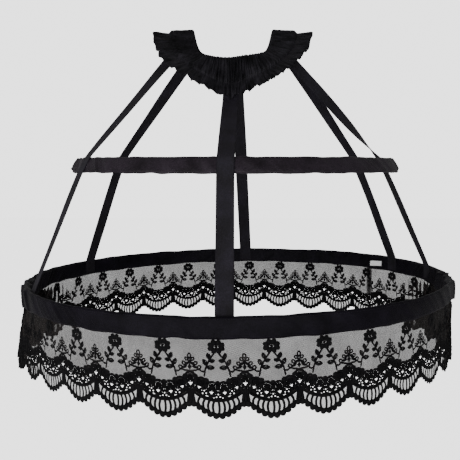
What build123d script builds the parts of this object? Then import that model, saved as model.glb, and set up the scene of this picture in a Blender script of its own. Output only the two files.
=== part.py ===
from build123d import *
import os
from math import cos, degrees, radians, sin, sqrt

os.makedirs("parts", exist_ok=True)

# A hoop cage petticoat as it hangs from its waist loop, in millimetres and degrees.
# The origin is the centre of the waist opening, level with the front of the waist edge.
# +Z is up and the front faces -Y. An azimuth is 0 at the front and 90 at +X.

# ---------------------------------------------------------------- driving sizes
# Waist band: an elastic loop held up at its two sides, so its rim has a saddle shape.
waist_half_width = 64.0
waist_half_depth = 92.0
side_rise = 38.0  # how far the sides of the waist edge stand above a level rim
back_lift = 24.0  # how far the back of the band hangs above its front
side_rise_sharpness = 8  # higher keeps the front level and the sides abrupt
channel_width = 42.0  # the gathered part that holds the elastic
channel_thickness = 7.0
channel_wall = 2.0
frill_width = 24.0  # the free gathered edge below the channel
frill_thickness = 3.0
front_slope = 82.0  # channel at the front and back, below level
side_slope = 3.0  # channel at the two sides
frill_front_slope = 70.0
frill_side_slope = 8.0
slope_sharpness = 1.25
elastic_thickness = 1.6
elastic_clearance = 0.8  # at each edge of the elastic, inside the channel

# Straps: six flat tapes from the channel, over the upper hoop, to the inside of the lower.
strap_width = 24.0
strap_thickness = 1.0
strap_clearance = 0.3
strap_bend_lead = 1.5  # how far past a casing's flat side the tape turns
strap_foot = 4.0  # bare casing left below the end of a tape
strap_tuck = 1.2  # extra room under the curved frill
strap_half_angle = 6.0  # half the angle that a tape spans at the waist
seam_gap = 0.8  # channel to the end of a tape
steep_share = 0.5  # how far round to the side the frill is still steep

# Hoops: a flat steel bone in a hollow tape casing, its ends held in a crimped sleeve.
upper_drop = 169.0  # waist edge to the middle of the upper casing
upper_radius = 260.5  # to the middle of the casing
upper_casing_width = 25.0
upper_lean = 28.0  # the casing leans in with the straps
upper_shift = 3.9  # the hoops hang a little to one side of the waist
lower_drop = 366.3
lower_radius = 347.0
lower_casing_width = 28.5
lower_tilt = 0.85  # the lower hoop hangs a little higher at +X
lower_shift = 7.5
casing_thickness = 6.0
casing_seam = 3.0  # the taper above and below the bone's channel
casing_edge = 2.0  # thickness where the seam is stitched
bone_width = 12.7
bone_thickness = 2.0
bone_room = 0.8  # between each flat of the bone and its casing
bone_end_gap = 3.0
sleeve_length = 40.0
sleeve_wall = 0.45
sleeve_clearance = 0.15
bone_joint_azimuth = 128.0

# Lace edging: a scalloped strip below the lower casing.
lace_drop = 99.0  # casing to the tip of a scallop
lace_thickness = 1.2
lace_clearance = 0.3
scallop_count = 32
scallop_depth = 15.0
scallop_azimuth = 6.8  # where one scallop has its tip

# Care label: a small blank tab inside the lower casing.
label_width = 30.0
label_height = 12.0
label_thickness = 0.4
label_azimuth = 125.5
label_clearance = 0.15

# Where each tape sits: its azimuth at the waist, the upper hoop and the lower hoop.
strap_azimuths = {
    "front_strap": (-1.8, -3.1, -3.1),
    "left_front_strap": (-55.7, -59.3, -63.3),
    "left_back_strap": (-134.0, -124.4, -122.5),
    "back_strap": (176.4, 176.9, 176.5),
    "right_back_strap": (122.0, 119.9, 118.2),
    "right_front_strap": (49.0, 101.3, 98.7),
}

# ---------------------------------------------------------------- planes and points
waist_plane = Plane.XY
upper_plane = Plane(origin=(upper_shift, 0, -upper_drop))
lower_plane = Plane(
    origin=(lower_shift, 0, -lower_drop),
    x_dir=(cos(radians(lower_tilt)), 0, sin(radians(lower_tilt))),
    z_dir=(-sin(radians(lower_tilt)), 0, cos(radians(lower_tilt))),
)


def outward(hoop, azimuth):
    """The direction that points away from a hoop's centre at an azimuth."""
    return hoop.x_dir * sin(radians(azimuth)) - hoop.y_dir * cos(radians(azimuth))


def along(hoop, azimuth):
    """The direction of travel round a hoop at an azimuth."""
    return hoop.x_dir * cos(radians(azimuth)) + hoop.y_dir * sin(radians(azimuth))


def side_plane(hoop, azimuth):
    """A plane that cuts a hoop at an azimuth: local x is the radius and local y the height."""
    return Plane(
        origin=hoop.origin, x_dir=outward(hoop, azimuth), z_dir=along(hoop, azimuth) * -1
    )


def hoop_axis(hoop):
    return Axis(hoop.origin, hoop.z_dir)


def sagitta(width, radius):
    """How far a flat tape of some width falls inside a circle that it touches."""
    return radius - sqrt(radius**2 - (width / 2) ** 2)


# ---------------------------------------------------------------- waist band
def waist_radius(azimuth):
    """Radius of the waist edge, an ellipse seen from above."""
    across = waist_half_depth * sin(radians(azimuth))
    ahead = waist_half_width * cos(radians(azimuth))
    return waist_half_width * waist_half_depth / sqrt(across**2 + ahead**2)


def sidewardness(azimuth):
    """0 at the front and back of the waist edge, 1 at its two sides."""
    return abs(waist_radius(azimuth) * sin(radians(azimuth))) / waist_half_width


def slope(azimuth, front, side):
    share = sidewardness(azimuth) ** slope_sharpness
    return radians(front + (side - front) * share)


def band_frame(azimuth):
    """Waist edge, stitch line and frill edge as (radius, height), with their two slopes."""
    channel = slope(azimuth, front_slope, side_slope)
    frill = slope(azimuth, frill_front_slope, frill_side_slope)
    rise = side_rise * sidewardness(azimuth) ** side_rise_sharpness
    lift = back_lift * (1 - cos(radians(azimuth))) / 2
    edge = Vector(waist_radius(azimuth), rise + lift)
    stitch = edge + Vector(cos(channel), -sin(channel)) * channel_width
    hem = stitch + Vector(cos(frill), -sin(frill)) * frill_width
    return edge, stitch, hem, channel, frill


def band_side(angle):
    """The direction out of the band's outer side, for a band that slopes down at an angle."""
    return Vector(sin(angle), cos(angle))


def band_outline(azimuth):
    """The band's section: a thick channel with a thin frill below it."""
    edge, stitch, hem, channel, frill = band_frame(azimuth)
    thick = band_side(channel) * (channel_thickness / 2)
    thin = band_side((channel + frill) / 2) * (frill_thickness / 2)
    tail = band_side(frill) * (frill_thickness / 2)
    outer = [edge + thick, stitch + thick, stitch + thin, hem + tail]
    inner = [hem - tail, stitch - thin, stitch - thick, edge - thick]
    return [(point.X, point.Y) for point in outer + inner]


def channel_outline(azimuth, inset, half_thickness):
    """A rectangle inside the channel, for its hollow and for the elastic."""
    edge, stitch, _, channel, _ = band_frame(azimuth)
    run = Vector(cos(channel), -sin(channel)) * inset
    thick = band_side(channel) * half_thickness
    corners = [edge + run + thick, stitch - run + thick, stitch - run - thick, edge + run - thick]
    return [(point.X, point.Y) for point in corners]


section_step = 15
half_rings = [range(0, 181, section_step), range(180, 361, section_step)]

with BuildPart() as waistband:
    for half in half_rings:
        for azimuth in half:
            with BuildSketch(side_plane(waist_plane, azimuth)):
                with BuildLine():
                    Polyline(*band_outline(azimuth), close=True)
                make_face()
        loft()
    for half in half_rings:
        for azimuth in half:
            with BuildSketch(side_plane(waist_plane, azimuth)):
                with BuildLine():
                    hollow = channel_thickness / 2 - channel_wall
                    Polyline(*channel_outline(azimuth, channel_wall, hollow), close=True)
                make_face()
        loft(mode=Mode.SUBTRACT)
waistband.part.label = "waistband"
export_step(waistband.part, "parts/waistband.step")

with BuildPart() as waist_elastic:
    for half in half_rings:
        for azimuth in half:
            with BuildSketch(side_plane(waist_plane, azimuth)):
                with BuildLine():
                    inset = channel_wall + elastic_clearance
                    Polyline(*channel_outline(azimuth, inset, elastic_thickness / 2), close=True)
                make_face()
        loft()
waist_elastic.part.label = "waist_elastic"
export_step(waist_elastic.part, "parts/waist_elastic.step")


# ---------------------------------------------------------------- hoops
def build_hoop(hoop, radius, width, lean, prefix):
    """A casing, the bone inside it and the sleeve over the bone's ends."""
    upright = lean - 90
    flat = (width / 2 - casing_seam, casing_thickness / 2)
    edge = (width / 2, casing_edge / 2)
    section = [
        (x_side * x, y_side * y)
        for x_side, y_side, corners in (
            (1, 1, (edge, flat)),
            (-1, 1, (flat, edge)),
            (-1, -1, (edge, flat)),
            (1, -1, (flat, edge)),
        )
        for x, y in corners
    ]
    with BuildPart() as casing:
        with BuildSketch(side_plane(hoop, 0)):
            with Locations((radius, 0)):
                Polygon(*section, rotation=upright, align=None)
                Rectangle(
                    width - 2 * casing_seam,
                    bone_thickness + 2 * bone_room,
                    rotation=upright,
                    mode=Mode.SUBTRACT,
                )
        revolve(axis=hoop_axis(hoop))
    casing.part.label = f"{prefix}_casing"
    export_step(casing.part, f"parts/{prefix}_casing.step")

    gap_angle = degrees(bone_end_gap / radius)
    with BuildPart() as bone:
        with BuildSketch(side_plane(hoop, bone_joint_azimuth + gap_angle / 2)):
            with Locations((radius, 0)):
                Rectangle(bone_width, bone_thickness, rotation=upright)
        revolve(axis=hoop_axis(hoop), revolution_arc=360 - gap_angle)
    bone.part.label = f"{prefix}_bone"
    export_step(bone.part, f"parts/{prefix}_bone.step")

    sleeve_angle = degrees(sleeve_length / radius)
    bore_width = bone_width + 2 * sleeve_clearance
    bore_thickness = bone_thickness + 2 * sleeve_clearance
    with BuildPart() as sleeve:
        with BuildSketch(side_plane(hoop, bone_joint_azimuth - sleeve_angle / 2)):
            with Locations((radius, 0)):
                Rectangle(
                    bore_width + 2 * sleeve_wall,
                    bore_thickness + 2 * sleeve_wall,
                    rotation=upright,
                )
                Rectangle(bore_width, bore_thickness, rotation=upright, mode=Mode.SUBTRACT)
        revolve(axis=hoop_axis(hoop), revolution_arc=sleeve_angle)
    sleeve.part.label = f"{prefix}_bone_sleeve"
    export_step(sleeve.part, f"parts/{prefix}_bone_sleeve.step")


build_hoop(upper_plane, upper_radius, upper_casing_width, upper_lean, "upper")
build_hoop(lower_plane, lower_radius, lower_casing_width, 0, "lower")


# ---------------------------------------------------------------- straps
def point_on(hoop, azimuth, radius, height):
    return hoop.origin + outward(hoop, azimuth) * radius + hoop.z_dir * height


def seam_points(azimuth):
    """The stitch line and the hem of the frill at an azimuth."""
    _, stitch, hem, _, _ = band_frame(azimuth)
    return [point_on(waist_plane, azimuth, place.X, place.Y) for place in (stitch, hem)]


def strap_stations(waist_azimuth, upper_azimuth, lower_azimuth):
    """The tape's middle line from waist to hem, as (point, direction across the tape)."""
    stitch, hem = seam_points(waist_azimuth)
    before = seam_points(waist_azimuth - strap_half_angle)
    after = seam_points(waist_azimuth + strap_half_angle)
    down_frill = (hem - stitch).normalized()
    room = strap_clearance + strap_tuck * (1 - sidewardness(waist_azimuth))
    tuck = (frill_thickness + strap_thickness) / 2 + room
    # Under a steep frill the tape follows it to the hem. Under a flared one it leaves at once.
    steep = sidewardness(waist_azimuth) < steep_share
    places = [stitch + down_frill * seam_gap, hem] if steep else [stitch + down_frill * seam_gap]
    stations = []
    for index, place in enumerate(places):
        across = (after[index] - before[index]).normalized()
        under = across.cross(down_frill).normalized()
        stations.append((place + under * tuck, across))

    lean = radians(upper_lean)
    down = Vector(sin(lean), -cos(lean))
    out = Vector(cos(lean), sin(lean))
    half_flat = upper_casing_width / 2 - casing_seam + strap_bend_lead
    stand_off = (casing_thickness + strap_thickness) / 2 + strap_clearance
    across = along(upper_plane, upper_azimuth)
    for reach in (-half_flat, half_flat):
        place = Vector(upper_radius, 0) + out * stand_off + down * reach
        stations.append((point_on(upper_plane, upper_azimuth, place.X, place.Y), across))

    inside = lower_radius - casing_thickness / 2
    radius = (
        inside
        - sagitta(strap_width, inside)
        - strap_clearance
        - strap_thickness / 2
    )
    across = along(lower_plane, lower_azimuth)
    head = lower_casing_width / 2 - strap_bend_lead
    foot = strap_foot - lower_casing_width / 2
    for height in (head, foot):
        stations.append((point_on(lower_plane, lower_azimuth, radius, height), across))
    return stations


for name, azimuths in strap_azimuths.items():
    stations = strap_stations(*azimuths)
    points = [point for point, _ in stations]
    runs = [(points[i + 1] - points[i]).normalized() for i in range(len(points) - 1)]
    headings = [runs[0]] + [runs[i] + runs[i + 1] for i in range(len(runs) - 1)] + [runs[-1]]
    with BuildPart() as strap:
        for (point, across), heading in zip(stations, headings):
            square = heading - across * heading.dot(across)
            with BuildSketch(Plane(origin=point, x_dir=across, z_dir=square)):
                Rectangle(strap_width, strap_thickness)
        loft(ruled=True)
    strap.part.label = name
    export_step(strap.part, f"parts/{name}.step")


# ---------------------------------------------------------------- lace edging
casing_bottom = -lower_casing_width / 2
lace_top = casing_bottom - lace_clearance
lace_tip = casing_bottom - lace_drop
scallop_angle = 360 / scallop_count
scallop_width = 2 * (lower_radius + lace_thickness) * sin(radians(scallop_angle / 2))

with BuildPart() as lace_trim:
    with BuildSketch(side_plane(lower_plane, 0)):
        with Locations((lower_radius, (lace_top + lace_tip) / 2)):
            Rectangle(lace_thickness, lace_top - lace_tip)
    revolve(axis=hoop_axis(lower_plane))
    # Between two scallops the hem rises to a point, under two arcs that meet there.
    for index in range(scallop_count):
        azimuth = scallop_azimuth + (index + 0.5) * scallop_angle
        notch_plane = Plane(
            origin=lower_plane.origin,
            x_dir=along(lower_plane, azimuth),
            z_dir=outward(lower_plane, azimuth),
        )
        half = scallop_width / 2
        peak = lace_tip + scallop_depth
        shoulder = lace_tip + scallop_depth * 0.25
        with BuildSketch(notch_plane):
            with BuildLine():
                ThreePointArc((-half, lace_tip), (-half / 2, shoulder), (0, peak))
                ThreePointArc((0, peak), (half / 2, shoulder), (half, lace_tip))
                Polyline(
                    (half, lace_tip),
                    (half, lace_tip - 1),
                    (-half, lace_tip - 1),
                    (-half, lace_tip),
                )
            make_face()
    extrude(amount=lower_radius + 2 * lace_thickness, mode=Mode.SUBTRACT)
lace_trim.part.label = "lace_trim"
export_step(lace_trim.part, "parts/lace_trim.step")

# ---------------------------------------------------------------- care label
label_radius = (
    lower_radius
    - casing_thickness / 2
    - sagitta(label_width, lower_radius - casing_thickness / 2)
    - label_clearance
)
with BuildPart() as care_label:
    label_plane = Plane(
        origin=point_on(lower_plane, label_azimuth, label_radius, 0),
        x_dir=along(lower_plane, label_azimuth),
        z_dir=outward(lower_plane, label_azimuth) * -1,
    )
    with BuildSketch(label_plane):
        Rectangle(label_width, label_height)
    extrude(amount=label_thickness)
care_label.part.label = "care_label"
export_step(care_label.part, "parts/care_label.step")
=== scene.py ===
# %% [markdown]
# # A hoop cage petticoat
# This lesson builds the looks of a black "bird cage" petticoat round its engineering parts: a
# gathered elastic waist, six tapes, two boned hoops and a scalloped lace edging. Sizes are named
# in millimetres where they are first used and turned into metres by `MM`.
# An azimuth is 0 at the front, where -Y is, and 90 degrees at +X.

import math
from functools import partial

import bpy
import numpy as np
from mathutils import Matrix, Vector


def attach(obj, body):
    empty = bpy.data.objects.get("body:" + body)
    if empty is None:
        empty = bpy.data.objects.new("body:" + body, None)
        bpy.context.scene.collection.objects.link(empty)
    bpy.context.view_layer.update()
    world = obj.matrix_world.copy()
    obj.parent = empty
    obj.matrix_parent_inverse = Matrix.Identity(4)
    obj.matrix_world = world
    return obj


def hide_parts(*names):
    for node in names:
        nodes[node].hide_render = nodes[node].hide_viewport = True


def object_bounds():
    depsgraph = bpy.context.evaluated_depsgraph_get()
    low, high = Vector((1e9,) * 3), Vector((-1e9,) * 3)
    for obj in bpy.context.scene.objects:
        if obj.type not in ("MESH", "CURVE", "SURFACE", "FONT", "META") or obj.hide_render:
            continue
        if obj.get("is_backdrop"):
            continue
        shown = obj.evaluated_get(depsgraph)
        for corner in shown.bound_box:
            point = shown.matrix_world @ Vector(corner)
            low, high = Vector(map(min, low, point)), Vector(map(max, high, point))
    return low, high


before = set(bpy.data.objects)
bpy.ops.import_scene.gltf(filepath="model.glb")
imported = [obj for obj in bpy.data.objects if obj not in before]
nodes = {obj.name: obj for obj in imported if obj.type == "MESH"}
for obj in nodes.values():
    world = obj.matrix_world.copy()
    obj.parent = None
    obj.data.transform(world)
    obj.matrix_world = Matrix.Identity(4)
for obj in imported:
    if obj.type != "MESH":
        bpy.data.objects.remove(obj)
MM = 0.001
cad_low, cad_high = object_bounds()
print("parts:", len(nodes), "box:", np.round(cad_low, 3), np.round(cad_high, 3))

# %% [markdown]
# ## Small tools
# A colour is written as the sRGB hex that a paint chart would give. One function adds a node of
# any kind, and one turns a grid of points into a mesh with a UV map measured in metres, so that
# every weave below has its real size.


# %% Tools for meshes
def linear(code):
    """The linear colour for an sRGB hex code."""
    parts = [int(code[i : i + 2], 16) / 255 for i in (1, 3, 5)]
    curve = [p / 12.92 if p <= 0.04045 else ((p + 0.055) / 1.055) ** 2.4 for p in parts]
    return (*curve, 1)


def add_object(name, data):
    """Puts a mesh, a camera or a light in the scene."""
    item = bpy.data.objects.new(name, data)
    bpy.context.scene.collection.objects.link(item)
    return item


def mesh_from(name, points, faces, face_uvs):
    """A smooth mesh whose closed surface faces outward."""
    mesh = bpy.data.meshes.new(name)
    mesh.from_pydata(np.asarray(points, float).tolist(), [], faces)
    layer = mesh.uv_layers.new(name="UVMap")
    layer.data.foreach_set("uv", np.asarray(face_uvs, np.float32).ravel())
    if signed_volume(mesh) < 0:
        mesh.flip_normals()
    mesh.shade_smooth()
    mesh.validate()
    return mesh


def signed_volume(mesh):
    """The volume that a mesh closes, below 0 where its faces point inward."""
    mesh.calc_loop_triangles()
    at = np.zeros(len(mesh.vertices) * 3)
    mesh.vertices.foreach_get("co", at)
    index = np.zeros(len(mesh.loop_triangles) * 3, np.int32)
    mesh.loop_triangles.foreach_get("vertices", index)
    a, b, c = (at.reshape(-1, 3)[index.reshape(-1, 3)[:, i]] for i in range(3))
    return float((a * np.cross(b, c)).sum() / 6)


def grid_faces(count_u, count_v, u, v, wrap_u=False, wrap_v=False, caps=False):
    """Four-sided faces over a grid of points, with the UV of every corner. u and v are the
    distances along the two sides, one more than the points if that side wraps. Caps close the
    two ends of a tube."""
    i, j = np.meshgrid(
        np.arange(count_u if wrap_u else count_u - 1),
        np.arange(count_v if wrap_v else count_v - 1),
        indexing="ij",
    )
    i, j = i.ravel(), j.ravel()
    corners = [(i, j), (i + 1, j), (i + 1, j + 1), (i, j + 1)]
    faces = np.stack([(a % count_u) * count_v + b % count_v for a, b in corners], 1).tolist()
    uvs = np.stack([np.stack([u[a], v[b]], 1) for a, b in corners], 1).reshape(-1, 2)
    if caps:
        last = (count_u - 1) * count_v
        faces += [list(range(count_v))[::-1], list(range(last, last + count_v))]
        uvs = np.concatenate([uvs, np.zeros((2 * count_v, 2))])
    return faces, uvs


def grid_mesh(name, points, u, v, wrap_u=False, wrap_v=False, caps=False):
    """A mesh over points[u, v]."""
    faces, uvs = grid_faces(*points.shape[:2], u, v, wrap_u, wrap_v, caps)
    return mesh_from(name, points.reshape(-1, 3), faces, uvs)


def distances(line):
    """How far along a line each of its points is."""
    return np.concatenate([[0], np.cumsum(np.linalg.norm(np.diff(line, axis=0), axis=1))])


def wander(turn, lowest, highest, size, seed):
    """A smooth, irregular number round a closed loop: turn goes from 0 to 2 pi."""
    dice = np.random.default_rng(seed)
    waves = np.arange(lowest, highest + 1)
    total = sum(
        dice.normal() * np.cos(n * turn + dice.uniform(0, 2 * math.pi)) for n in waves
    )
    return size * total / math.sqrt(len(waves))


def finish_piece(name, mesh, material, replaces=()):
    """What every visible piece needs: its material and the body that it rides on."""
    piece = add_object(name, mesh)
    mesh.materials.clear()
    mesh.materials.append(material)
    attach(piece, "root")
    if replaces:
        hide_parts(*replaces)
    print(f"{name}: {len(mesh.polygons)} faces")
    return piece


# %% Tools for nodes
def add(tree, kind, settings=None, **inputs):
    """Adds one node. Settings are its options, and inputs are values or sockets to link.
    An input is called by its name, or i0, i1 and so on where names repeat."""
    node = tree.nodes.new(kind)
    for name, value in (settings or {}).items():
        setattr(node, name, value)
    for name, value in inputs.items():
        numbered = name[1:].isdigit()
        socket = node.inputs[int(name[1:]) if numbered else name.replace("_", " ")]
        if isinstance(value, bpy.types.NodeSocket):
            tree.links.new(value, socket)
        else:
            socket.default_value = value
    return node


def made(tree, kind, settings=None, **inputs):
    """Adds one node and gives its first output."""
    return add(tree, kind, settings, **inputs).outputs[0]


def math_node(tree, operation, *values):
    """One sum. Values are numbers or sockets, in order."""
    inputs = {f"i{n}": value for n, value in enumerate(values)}
    return made(tree, "ShaderNodeMath", {"operation": operation}, **inputs)


def new_material(name, **values):
    """A material with its tree and its Principled shader, whose inputs take the values given."""
    material = bpy.data.materials.new(name)
    material.use_nodes = True
    shader = material.node_tree.nodes["Principled BSDF"]
    for label, value in values.items():
        shader.inputs[label.replace("_", " ")].default_value = value
    return material, material.node_tree, shader


def uv_place(tree):
    """The distances along the two sides of a piece, in metres."""
    uv = add(tree, "ShaderNodeUVMap", {"uv_map": "UVMap"}).outputs["UV"]
    return add(tree, "ShaderNodeSeparateXYZ", Vector=uv).outputs


def object_noise(tree, scale, detail=2.0):
    """A cloudy number from 0 to 1 that stays with the piece."""
    where = add(tree, "ShaderNodeTexCoord").outputs["Object"]
    return made(tree, "ShaderNodeTexNoise", Vector=where, Scale=scale, Detail=detail)


def spread(tree, value, low, high):
    """A number from 0 to 1 taken to the range from low to high."""
    return made(tree, "ShaderNodeMapRange", Value=value, To_Min=low, To_Max=high)


def tone(tree, shader, share, dark, light, places=(0, 1)):
    """The base colour runs from dark to light between two places of a number."""
    ramp = add(tree, "ShaderNodeValToRGB", Fac=share)
    for stop, place, code in zip(ramp.color_ramp.elements, places, (dark, light)):
        stop.position, stop.color = place, linear(code)
    tree.links.new(ramp.outputs["Color"], shader.inputs["Base Color"])


def bump(tree, shader, height, strength, depth):
    """Relief too fine to be modelled."""
    relief = made(tree, "ShaderNodeBump", Strength=strength, Distance=depth, Height=height)
    tree.links.new(relief, shader.inputs["Normal"])


# %% [markdown]
# ## Camera
# The cage is seen from a little above its upper hoop, at the distance where the near and far
# sides of the lower hoop open to a narrow ellipse. The lens is a short portrait one.

# %% Camera
camera_place = (-2.6 * MM, -1181.07 * MM, -169.7 * MM)
camera_pitch, camera_yaw = math.radians(-5.29), math.radians(-0.113)
camera = add_object("camera", bpy.data.cameras.new("camera"))
bpy.context.scene.camera = camera
camera.data.sensor_width, camera.data.lens = 36, 54.48
camera.location = camera_place
camera.rotation_euler = (math.pi / 2 + camera_pitch, 0, -camera_yaw)

# %% [markdown]
# ## Cloth and thread
# All the cloth is black, so its finish is told by how light skims it: a matt gathered cotton, a
# ribbed tape, a sateen with a faint purple sheen, and twisted embroidery thread. Each weave is a
# bump of its real pitch, and a slow cloud of tone keeps large faces from being one flat colour.


# %% Cloth materials
def weave_material(
    name, dark, light, pitch_u, pitch_v, depth, roughness, sheen, gloss=0.12, pleat_shade_streak=None
):
    """Cloth with threads at two pitches in millimetres. A pitch of 0 leaves that way plain.
    The last argument (across, along) draws the tone out into long stripes of that size: painted
    light and shade along the pleats."""
    material, tree, shader = new_material(
        name, Specular_IOR_Level=gloss, Sheen_Weight=sheen, Sheen_Roughness=0.4,
        Sheen_Tint=linear("#8a8090"),
    )
    place = uv_place(tree)
    height = None
    for pitch, side in ((pitch_u, place[0]), (pitch_v, place[1])):
        if not pitch:
            continue
        turn = math_node(tree, "MULTIPLY", side, 2 * math.pi / (pitch * MM))
        wave = math_node(tree, "SINE", turn)
        height = wave if height is None else math_node(tree, "MULTIPLY", height, wave)
    clouds = object_noise(tree, 33.0, 4.0)
    # Long stripes of tone here are painted light and shade of pleats.
    if pleat_shade_streak:
        drawn = [math_node(tree, "DIVIDE", place[k], pleat_shade_streak[k] * MM) for k in (0, 1)]
        drawn = made(tree, "ShaderNodeCombineXYZ", X=drawn[0], Y=drawn[1])
        speckle_and_pleat_shade = made(tree, "ShaderNodeTexNoise", Vector=drawn, Scale=1.0, Detail=2.0)
    else:
        speckle_and_pleat_shade = object_noise(tree, 900.0)
    share = math_node(tree, "MULTIPLY", clouds, speckle_and_pleat_shade)
    tone(tree, shader, share, dark, light, (0.15, 0.42))
    bump(tree, shader, height, 0.6, depth * MM)
    rough = spread(tree, clouds, roughness - 0.08, roughness + 0.08)
    tree.links.new(rough, shader.inputs["Roughness"])
    return material


# Threads closer than 0.4 mm can't be told apart at this distance, so the weaves are coarser.
# The cotton's tone is drawn into stripes 2.2 mm across and 22 mm down the band: painted light and
# shade of its fine pleats.
cotton = weave_material(
    "black gathered cotton", "#020203", "#242227", 0.5, 0.6, 0.12, 0.6, 0.03, 0.1, (2.2, 22)
)
tape_weave = weave_material(
    "black grosgrain tape", "#0f0d10", "#24212a", 0.9, 0, 0.25, 0.58, 0.04
)
sateen = weave_material(
    "black cotton sateen", "#120e12", "#2b242c", 0.5, 0.9, 0.1, 0.48, 0.05
)
# The lower casing's copy of the sateen is darker and less glossy: painted shade, since its upright
# faces catch less light than the leaning upper casing.
shaded_sateen = weave_material(
    "deep black sateen", "#040306", "#15121a", 0.5, 0.9, 0.1, 0.45, 0.02, 0.06
)
thread = weave_material(
    "black embroidery thread", "#040405", "#111012", 0.6, 0, 0.2, 0.55, 0.01, 0.08
)
sewing = weave_material(
    "black sewing thread", "#0d0c0e", "#242128", 0.8, 0, 0.1, 0.45, 0.05
)
elastic_weave = weave_material(
    "black ribbed elastic", "#141414", "#292929", 1.2, 2, 0.2, 0.75, 0.05
)
print("cloth materials:", len(bpy.data.materials))

# %% [markdown]
# ## The waist band
# The real band is a strip of cotton folded double, with elastic threaded through its upper part.
# The elastic pulls the cloth into fine pleats with round tops and sharp valleys, and below the
# lowest row of stitches the free edge opens into flutes. The loop hangs by its two sides, so its
# rim is a saddle: level in front and raised into two square "ears".
# A pleat here is one wave along the band whose phase wanders, so that no two pleats are alike.

# %% The shape of the band
waist_half_width, waist_half_depth = 64 * MM, 92 * MM
side_rise, back_lift = 38 * MM, 24 * MM
side_rise_sharpness = 13
channel_width, frill_width = 42 * MM, 24 * MM
front_slope, side_slope = 82, 3
frill_front_slope, frill_side_slope = 70, 8
slope_sharpness = 1.25
front_sag, front_climb, ear_peak = 4.5 * MM, 4.0 * MM, 2.2 * MM
pleat_pitch, flute_pitch, flute_depth = 3.7 * MM, 8.5 * MM, 6.4 * MM
fold_room = 3.3 * MM  # from the middle of the channel to its skin
rim_round, stitch_pinch = 3.6 * MM, 2.4 * MM  # how far the rim and the stitches draw the cloth in
hem_thickness, least_thickness = 0.35 * MM, 0.25 * MM


def waist_radius(a):
    """The waist edge is an ellipse."""
    across, ahead = waist_half_depth * np.sin(a), waist_half_width * np.cos(a)
    return waist_half_width * waist_half_depth / np.hypot(across, ahead)


def sidewardness(a):
    """0 at the front and back of the waist edge, 1 at its two sides."""
    return np.abs(waist_radius(a) * np.sin(a)) / waist_half_width


def band_slopes(a):
    """How steeply the channel and the frill fall, in radians."""
    share = sidewardness(a) ** slope_sharpness
    channel = np.radians(front_slope + (side_slope - front_slope) * share)
    frill = np.radians(frill_front_slope + (frill_side_slope - frill_front_slope) * share)
    return channel, frill


def near(a, centre, reach):
    """1 at an azimuth in degrees, fading to 0 over some degrees to either side."""
    gap = (a - math.radians(centre) + math.pi) % (2 * math.pi) - math.pi
    return np.exp(-((gap / math.radians(reach)) ** 2))


def round_loop(r, a, z):
    """Points at a radius, an azimuth and a height."""
    return np.stack([r * np.sin(a), -r * np.cos(a), z], 1)


def band_edge(a):
    """Radius and height of the waist edge."""
    rise = side_rise * sidewardness(a) ** side_rise_sharpness
    # The front sags a little left of the middle and climbs to the right.
    sag, climb = -front_sag * near(a, -9, 17), front_climb * near(a, 46, 17)
    # The tops of the ears aren't level: the left one has a soft peak towards the front.
    peak = ear_peak * near(a, -74, 7)
    return waist_radius(a), rise + back_lift * (1 - np.cos(a)) / 2 + sag + climb + peak


# Columns stand at even steps along the middle of the channel.
fine = np.linspace(0, 2 * math.pi, 4001)
edge_r, edge_z = band_edge(fine)
middle_r = edge_r + np.cos(band_slopes(fine)[0]) * channel_width / 2
middle_z = edge_z - np.sin(band_slopes(fine)[0]) * channel_width / 2
middle = round_loop(middle_r, fine, middle_z)
run = distances(middle)
band_length = run[-1]
band_columns = 1500
along = np.linspace(0, band_length, band_columns, endpoint=False)
azimuth = np.interp(along, run, fine)
turn = along / band_length * 2 * math.pi
print(f"band: {band_length * 1000:.0f} mm round the middle of its channel")

# %% The pleats
hem_extra = 5.5 * MM * near(azimuth, -48, 26) + 2.0 * MM * near(azimuth, 45, 20)
hem_extra += wander(turn, 16, 62, 1.8 * MM, 3)
band_width = channel_width + frill_width
outer_rows = MM * np.concatenate([
    [0, 0.35, 0.9, 1.8, 3.2], np.linspace(5, 37.5, 12),
    [39.3, 40.6, 41.5, 42.3, 43.2, 44.5, 46.2], np.linspace(48.2, 66, 10),
])
inner_rows = np.array([65, 62, 57, 52, 47, 44, 42, 40, 36, 28, 18, 9, 4, 1.4, 0.5]) * MM


def pleats(down, pitch, seed, loose=2.2):
    """The height of a pleat, from -1 in a valley to 1 on a ridge. They lean at the left ear."""
    count = round(band_length / pitch)
    lean = 2 * math.pi / pitch * down
    phase = count * turn + wander(turn, 6, 40, loose, seed) + 0.75 * lean * near(azimuth, -72, 24)
    phase += 0.7 * np.sin(down / (11 * MM) + wander(turn, 3, 12, 2.0, seed + 1))
    return 2 * np.abs(np.cos(phase / 2)) ** 0.75 - 1


def seam_share(row):
    """0 in the channel and 1 in the frill, turning over 4 mm at the stitches."""
    return np.clip((row - channel_width + 2 * MM) / (4 * MM), 0, 1)


def band_middle(row):
    """Radius, height and slope of the band's middle, at a distance below the rim."""
    channel, frill = band_slopes(azimuth)
    radius, height = band_edge(azimuth)
    step = 0.25 * MM
    for tick in np.arange(0, row, step):
        angle = channel + (frill - channel) * seam_share(tick)
        part = min(step, row - tick)
        radius, height = radius + np.cos(angle) * part, height - np.sin(angle) * part
    return radius, height, channel + (frill - channel) * seam_share(row)


# %% [markdown]
# Each skin of the band is a stack of rows from the rim to the hem. Over the elastic the cloth is
# puffed, at the stitches it is pinched, and in the frill both skins swing together in flutes.
# Rows of points are simpler here than a simulation, because gathered cloth is held at both edges.


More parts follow.
